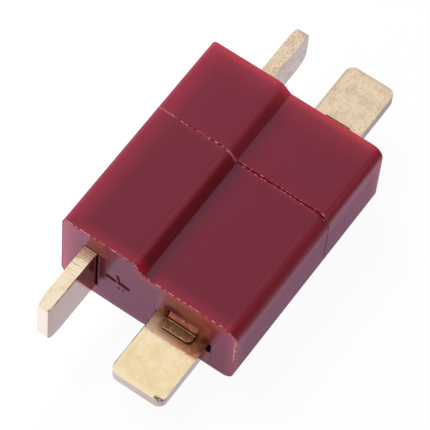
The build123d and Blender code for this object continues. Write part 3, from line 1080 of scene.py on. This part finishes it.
def make_burr():
    """Thin pink burr along the upper rim of the spring's slot."""
    rng = random.Random(3)
    y0 = leaf_y0 - burr_over
    y1 = leaf_y1 - burr_short
    parts = 26
    sides = 8
    rings = []
    for i in range(parts + 1):
        y = y0 + (y1 - y0) * i / parts
        radius = burr_radius * (0.8 + 0.4 * rng.random()) * (burr_end_share if i in (0, parts) else 1.0)
        z = burr_z + rng.uniform(-burr_sag, burr_sag)
        angles = [math.tau * k / sides for k in range(sides)]
        rings.append([(near_x + radius * math.cos(a), y, z + radius * math.sin(a)) for a in angles])
    material = patchy("burr", nylon_burr, nylon_burr_pale, 0.35)
    new_piece("slot_burr", rings, False, material, "socket")


def make_lip():
    """Thin uneven flash that narrows the slot beside the upright tab."""
    rng = random.Random(9)
    y0 = upright_y0 - lip_foot
    low_z = upright_low_z - 0.01
    high_z = upright_top_z + 0.01
    x0 = near_x + lip_stand
    x1 = x0 + lip_edge
    x2 = x0 + lip_thickness
    parts = 30
    rings = []
    for i in range(parts + 1):
        z = low_z + (high_z - low_z) * i / parts
        y1 = y0 + lip_least + lip_reach * rng.uniform(0.85, 1.1)
        rings.append([(x0, y0, z), (x0, y1 - lip_edge, z), (x1, y1, z), (x2, y1, z), (x2, y0, z)])
    material = patchy("slot_lip", nylon_lip, nylon_deep, 0.4)
    new_piece("slot_lip", rings, False, material, "socket")


def make_flash():
    """Flash at the parting line and on the rim of the near end."""
    # Flash on the near end's rim, in patches of the painted edge glow and pale flash
    pink = patchy("flash", nylon_edge_glow, nylon_flash, 0.4)
    # The seam pieces get painted light: a bright red painted glow in the groove, and lighter painted wall
    # light on the low side
    seam_pink = patchy("seam_flash", nylon_seam_edge, nylon_flash, 0.4, 0.56, side=nylon_seam_low_wall_light, lit=True)
    seam_red = patchy("seam", nylon_seam_glow, nylon_deep, 0.6, specular=0.05, side=nylon_seam_low_wall_light)
    rng = random.Random(11)
    wander = [rng.uniform(0, math.tau) for _ in range(6)]

    def wave(p, k):
        along = p.x * 1.7 + p.y * 2.3
        return math.sin(along * 2.1 + wander[k]) * 0.6 + math.sin(along * 5.3 + wander[k + 1]) * 0.4

    def on_tall_top(p):
        return p.x > ramp_foot_y and p.y > top_z - 1.0

    def on_corner(p):
        return p.x < 0.9 - side_y and p.y > corner_z

    def seam_height(p, k, height):
        if p.x < 0.02 - side_y:
            return 0.0
        if on_corner(p):
            return corner_flash
        return height * max(-0.8, 1.6 * wave(p, k)) * rng.uniform(0.6, 1.2)

    def socket_flash_x(p):
        if on_tall_top(p):
            return mate_x - 0.02 + 0.03 * wave(p, 0)
        return mate_x - 0.035 + 0.01 * wave(p, 1)

    def on_low_side(p):
        return p.x < 0.3 - side_y

    def on_worn_edge(p):
        return on_low_side(p) and p.y > worn_edge_z

    def end_height(p):
        if on_worn_edge(p):
            return worn_edge_height + 0.01 * wave(p, 4)
        if on_low_side(p):
            return 0.015 * wave(p, 4)
        if p.y <= corner_z - 0.2:
            return 0.0
        if min(abs(p.x - y) for y in end_specks) < speck_half:
            return speck_height
        return bead_height * (rng.uniform(0.6, 1.4) if rng.random() < bead_share else 0.1)

    socket_places = walk(outline("socket_housing", mate_x - 0.07), flash_step)
    flash_ring(
        "seam_floor",
        socket_places,
        lambda p: mate_x - 0.01,
        lambda p: seam_floor_width,
        lambda p: -seam_depth,
        "socket",
        seam_red,
    )
    flash_ring(
        "socket_flash",
        socket_places,
        socket_flash_x,
        lambda p: tall_flash_width if on_tall_top(p) else seam_flash_width,
        lambda p: 0.02 + 0.012 * wave(p, 1) if on_tall_top(p) else seam_height(p, 2, 0.02),
        "socket",
        seam_pink,
    )
    flash_ring(
        "plug_flash",
        walk(outline("plug_housing", mate_x + 0.12), flash_step),
        lambda p: mate_x + 0.095,
        lambda p: plug_flash_width,
        lambda p: -0.02 if on_tall_top(p) else seam_height(p, 3, 0.03),
        "plug",
        seam_pink,
    )
    flash_ring(
        "end_flash",
        walk(outline("socket_housing", near_x + 0.07), flash_step),
        lambda p: near_x + 0.04,
        lambda p: worn_edge_width if on_worn_edge(p) else end_flash_width,
        end_height,
        "socket",
        pink,
    )


def make_camera():
    """The photograph's camera, from its focal length, direction, roll and distance."""
    azimuth = math.radians(camera_azimuth)
    elevation = math.radians(camera_elevation)
    roll = math.radians(camera_roll)
    level_reach = math.cos(elevation)
    towards = Vector((level_reach * math.cos(azimuth), level_reach * math.sin(azimuth), math.sin(elevation)))
    level = (-towards).cross(Vector((0, 0, 1))).normalized()
    over = level.cross(-towards)
    right = level * math.cos(roll) + over * math.sin(roll)
    up = over * math.cos(roll) - level * math.sin(roll)
    place = camera_target + towards * camera_distance
    place -= right * camera_shift_right + up * camera_shift_up
    data = bpy.data.cameras.new("camera")
    data.sensor_width = camera_sensor
    data.lens = camera_focal_px / photo_px * camera_sensor
    data.clip_start = camera_nearest * MM
    data.clip_end = camera_farthest * MM
    camera = linked(bpy.data.objects.new("camera", data))
    turn = Matrix((right, up, towards)).transposed()
    camera.matrix_world = Matrix.Translation(place * MM) @ turn.to_4x4()
    bpy.context.scene.camera = camera


def make_world():
    """Grey daylight that is soft on dull surfaces, and brighter on one side where the part mirrors it."""
    world = bpy.data.worlds.new("studio")
    bpy.context.scene.world = world
    world.use_nodes = True
    g = Graph(world.node_tree)
    path = g.node("LightPath").outputs
    way = g.vector("DOT_PRODUCT", g.node("TexCoord").outputs["Generated"], Vector(sky_way).normalized())
    mirrored = g.glow("Background", g.step(way, *sky_span, *sky_mirrored))
    plain = g.blend(g.seen(path), g.glow("Background", sky_light), g.glow("Background", 1.0))
    g.show("OutputWorld", g.blend(path["Is Glossy Ray"], plain, mirrored))


def make_floor():
    """White floor just under the part."""
    mesh = bpy.data.meshes.new("floor")
    corners = [(-1, -1), (1, -1), (1, 1), (-1, 1)]
    reach = floor_reach * MM
    mesh.from_pydata([(x * reach, y * reach, 0) for x, y in corners], [], [(0, 1, 2, 3)])
    mesh.materials.append(floor_shader())
    floor = linked(bpy.data.objects.new("floor", mesh))
    floor.location.z = -floor_sunk * MM


def make_lamp():
    """Soft square lamp over the tall side, that looks at the middle of the part."""
    data = bpy.data.lights.new("key", "AREA")
    data.shape = "SQUARE"
    data.size = lamp_size * MM
    data.energy = lamp_watts
    lamp = linked(bpy.data.objects.new("key", data))
    way = Vector(lamp_way).normalized()
    lamp.location = way * lamp_distance * MM + Vector((0, 0, lamp_height * MM))
    lamp.rotation_mode = "QUATERNION"
    lamp.rotation_quaternion = way.to_track_quat("Z", "Y")
    lamp.visible_glossy = False


mark = cutter_object("mark_cutter", [stroke_prism(*stroke) for stroke in mark_strokes])
ribs = cutter_object("rib_cutter", rib_prisms())
socket_red = nylon("socket_nylon", nylon_colour, nylon_ramp_shading, nylon_corner_shading, 1.0)
plug_red = nylon("plug_nylon", nylon_plug, nylon_plug_ramp_shading, nylon_plug_corner_shading, 0.7)
refined("socket_housing", socket_red, housing_break, mark)
refined("plug_housing", plug_red, housing_break)
near_gold = bright_gold()
refined("socket_flat_terminal", near_gold, tab_break)
refined("socket_upright_terminal", near_gold, tab_break, ribs)
far_gold = matte_gold()
refined("plug_flat_blade", far_gold, far_tab_break)
refined("plug_upright_blade", far_gold, far_tab_break)
leaf_gold = spring_gold()
refined("flat_leaf_spring", leaf_gold, leaf_break)
refined("upright_leaf_spring", leaf_gold, leaf_break)
make_flash()
make_burr()
make_lip()

make_camera()
make_world()
make_floor()
make_lamp()

scene = bpy.context.scene
scene.view_settings.view_transform = "Standard"
